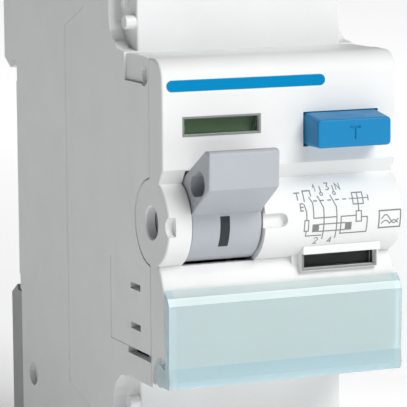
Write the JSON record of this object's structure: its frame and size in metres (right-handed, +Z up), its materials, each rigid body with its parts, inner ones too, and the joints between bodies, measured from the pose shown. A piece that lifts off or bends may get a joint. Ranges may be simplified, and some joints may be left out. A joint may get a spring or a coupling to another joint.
{
  "type": "residual current device",
  "caption": "Modular rail-mounted residual current device: stepped casing, tilting lever in a rounded lobe, test button, indicator windows, clear label cover and screw terminals.",
  "frame": {"origin": "centre of the flat face that rests on the front of the mounting rail", "axes": "+X across the width, to the right seen from the front; +Y back towards the rail and wall; +Z up as mounted"},
  "size_m": [0.035, 0.0714, 0.085],
  "materials": {
    "casing": "fine matt moulded, pale grey",
    "cover_white": "fine matt moulded, off-white",
    "clear_cover": "clear, pale cyan tint",
    "card": "uncoated card",
    "clear_lens": "clear polished",
    "button_blue": "satin moulded, blue",
    "lever_grey": "satin moulded, mid grey",
    "clip_grey": "matt moulded, dark grey",
    "zinc_steel": "zinc plated",
    "spring_steel": "drawn wire, bright",
    "copper": "rolled, bare",
    "silver_alloy": "pressed contact rivet",
    "insulation_brown": "extruded sleeve, brown",
    "insulation_blue": "extruded sleeve, blue",
    "lead_insulation": "extruded sleeve, white",
    "enamel_wire": "enamelled wire",
    "ribbon_core": "wound ribbon, dull",
    "case_black": "moulded, black",
    "relay_cap": "moulded, dark",
    "magnet": "sintered",
    "soft_iron": "ground flat",
    "mechanism_plastic": "glass-filled moulding, grey",
    "carrier_plastic": "thermoset moulding, dark",
    "flag_green": "satin moulding, green with a red half",
    "flag_fault": "satin moulding, dark with a yellow half",
    "resistor_body": "cement coated"
  },
  "bodies": {
    "casing": {"rear_base": "casing", "front_housing": "casing", "front_cover": "cover_white", "aux_blanking_plate": "casing", "label_card": "card", "position_window": "clear_lens", "fault_window": "clear_lens", "casing_screws": "zinc_steel", "din_clip_spring": "spring_steel", "lever_spring": "spring_steel", "line_bar_1": "copper", "line_bar_n": "copper", "transfer_strip_1": "copper", "transfer_strip_n": "copper", "fixed_tips": "silver_alloy", "primary_conductor_1": "insulation_brown", "primary_conductor_n": "insulation_blue", "load_bar_1": "copper", "load_bar_n": "copper", "toroid_core": "ribbon_core", "toroid_case": "case_black", "secondary_winding": "enamel_wire", "relay_base": "relay_cap", "relay_cap": "relay_cap", "relay_yoke": "soft_iron", "relay_magnet": "magnet", "relay_coil": "enamel_wire", "frame_axles": "zinc_steel", "latch_spring": "spring_steel", "mechanism_frame": "mechanism_plastic", "test_resistor": "resistor_body", "test_circuit_wires": "lead_insulation", "relay_leads": "lead_insulation"},
    "lever": {"lever": "lever_grey", "link_pin": "zinc_steel"},
    "drive_link": {"drive_link": "zinc_steel"},
    "contact_carrier": {"contact_carrier": "carrier_plastic", "carrier_pin": "zinc_steel", "bridge_contact_1": "copper", "bridge_contact_n": "copper", "bridge_tips": "silver_alloy", "contact_springs": "spring_steel"},
    "position_flag": {"position_flag": "flag_green"},
    "label_cover": {"label_cover": "clear_cover"},
    "test_button": {"test_button": "button_blue"},
    "test_contact_spring": {"test_contact_spring": "spring_steel"},
    "din_clip": {"din_clip": "clip_grey"},
    "trip_latch": {"trip_latch": "mechanism_plastic"},
    "toggle_bracket": {"toggle_bracket": "zinc_steel"},
    "relay_armature": {"relay_armature": "soft_iron"},
    "relay_plunger": {"relay_plunger": "mechanism_plastic"},
    "fault_flag": {"fault_flag": "flag_fault"},
    "terminal_screw_line_1": {"terminal_screw_line_1": "zinc_steel"},
    "terminal_cage_line_1": {"terminal_cage_line_1": "zinc_steel"},
    "terminal_screw_line_n": {"terminal_screw_line_n": "zinc_steel"},
    "terminal_cage_line_n": {"terminal_cage_line_n": "zinc_steel"},
    "terminal_screw_load_1": {"terminal_screw_load_1": "zinc_steel"},
    "terminal_cage_load_1": {"terminal_cage_load_1": "zinc_steel"},
    "terminal_screw_load_n": {"terminal_screw_load_n": "zinc_steel"},
    "terminal_cage_load_n": {"terminal_cage_load_n": "zinc_steel"}
  },
  "joints": [
    {"name": "lever_turn", "type": "hinge", "parent": "casing", "child": "lever", "pos_m": [-0.0088, -0.0547, 0.0002], "axis": [1, 0, 0], "range_deg": [0, 75]},
    {"name": "link_swing", "type": "hinge", "parent": "lever", "child": "drive_link", "pos_m": [-0.0088, -0.05245, 0.00314], "axis": [1, 0, 0], "range_deg": [-75.1, 0]},
    {"name": "carrier_slide", "type": "slide", "parent": "casing", "child": "contact_carrier", "axis": [0, -1, 0], "range_m": [0, 0.0045]},
    {"name": "position_flag_slide", "type": "slide", "parent": "casing", "child": "position_flag", "axis": [0, 0, -1], "range_m": [0, 0.0036]},
    {"name": "label_cover_hinge", "type": "hinge", "parent": "casing", "child": "label_cover", "pos_m": [0, -0.0571, -0.0204], "axis": [1, 0, 0], "range_deg": [0, 100]},
    {"name": "test_button_press", "type": "slide", "parent": "casing", "child": "test_button", "axis": [0, 1, 0], "range_m": [0, 0.0016], "stiffness_N_per_m": 800, "springref_m": -0.001},
    {"name": "test_spring_flex", "type": "hinge", "parent": "casing", "child": "test_contact_spring", "pos_m": [0.009, -0.046, 0.018], "axis": [1, 0, 0], "range_deg": [0, 16.5]},
    {"name": "din_clip_slide", "type": "slide", "parent": "casing", "child": "din_clip", "axis": [0, 0, -1], "range_m": [0, 0.004], "stiffness_N_per_m": 1500, "springref_m": -0.002, "deforming": ["din_clip_spring"]},
    {"name": "latch_turn", "type": "hinge", "parent": "casing", "child": "trip_latch", "pos_m": [0.002, -0.04, -0.0045], "axis": [-1, 0, 0], "range_deg": [0, 12], "stiffness_Nm_per_rad": 0.0004, "springref_deg": -11.46},
    {"name": "bracket_turn", "type": "hinge", "parent": "casing", "child": "toggle_bracket", "pos_m": [-0.0041, -0.031, 0.008], "axis": [-1, 0, 0], "range_deg": [0, 11]},
    {"name": "plunger_slide", "type": "slide", "parent": "casing", "child": "relay_plunger", "axis": [0, 0, 1], "range_m": [0, 0.00106]},
    {"name": "armature_turn", "type": "hinge", "parent": "casing", "child": "relay_armature", "pos_m": [0.0024, -0.0465, -0.0141], "axis": [0, -1, 0], "range_deg": [0, 8]},
    {"name": "fault_flag_slide", "type": "slide", "parent": "casing", "child": "fault_flag", "axis": [0, 0, 1], "range_m": [0, 0.0028]},
    {"name": "screw_turn_line_1", "type": "hinge", "parent": "casing", "child": "terminal_screw_line_1", "pos_m": [0.00875, -0.0385, 0.0335], "axis": [0, 1, 0], "range_deg": [0, 2340]},
    {"name": "cage_lift_line_1", "type": "slide", "parent": "casing", "child": "terminal_cage_line_1", "axis": [0, -1, 0], "range_m": [0, 0.0052]},
    {"name": "screw_turn_line_n", "type": "hinge", "parent": "casing", "child": "terminal_screw_line_n", "pos_m": [-0.00875, -0.0385, 0.0335], "axis": [0, 1, 0], "range_deg": [0, 2340]},
    {"name": "cage_lift_line_n", "type": "slide", "parent": "casing", "child": "terminal_cage_line_n", "axis": [0, -1, 0], "range_m": [0, 0.0052]},
    {"name": "screw_turn_load_1", "type": "hinge", "parent": "casing", "child": "terminal_screw_load_1", "pos_m": [0.00875, -0.0385, -0.0335], "axis": [0, 1, 0], "range_deg": [0, 2340]},
    {"name": "cage_lift_load_1", "type": "slide", "parent": "casing", "child": "terminal_cage_load_1", "axis": [0, -1, 0], "range_m": [0, 0.0052]},
    {"name": "screw_turn_load_n", "type": "hinge", "parent": "casing", "child": "terminal_screw_load_n", "pos_m": [-0.00875, -0.0385, -0.0335], "axis": [0, 1, 0], "range_deg": [0, 2340]},
    {"name": "cage_lift_load_n", "type": "slide", "parent": "casing", "child": "terminal_cage_load_n", "axis": [0, -1, 0], "range_m": [0, 0.0052]}
  ],
  "couplings": [
    {"joint": "lever_turn", "follows": "carrier_slide", "rad_per_m": 290.8},
    {"joint": "link_swing", "follows": "carrier_slide", "rad_per_m": -290.8},
    {"joint": "position_flag_slide", "follows": "carrier_slide", "ratio": 0.8},
    {"joint": "test_spring_flex", "follows": "test_button_press", "rad_per_m": 175},
    {"joint": "latch_turn", "follows": "fault_flag_slide", "rad_per_m": 74.7},
    {"joint": "bracket_turn", "follows": "fault_flag_slide", "rad_per_m": 67.2},
    {"joint": "plunger_slide", "follows": "fault_flag_slide", "ratio": 0.376},
    {"joint": "armature_turn", "follows": "fault_flag_slide", "rad_per_m": 49.3},
    {"joint": "screw_turn_line_1", "follows": "cage_lift_line_1", "rad_per_m": 7853.9},
    {"joint": "screw_turn_line_n", "follows": "cage_lift_line_n", "rad_per_m": 7853.9},
    {"joint": "screw_turn_load_1", "follows": "cage_lift_load_1", "rad_per_m": 7853.9},
    {"joint": "screw_turn_load_n", "follows": "cage_lift_load_n", "rad_per_m": 7853.9}
  ]
}
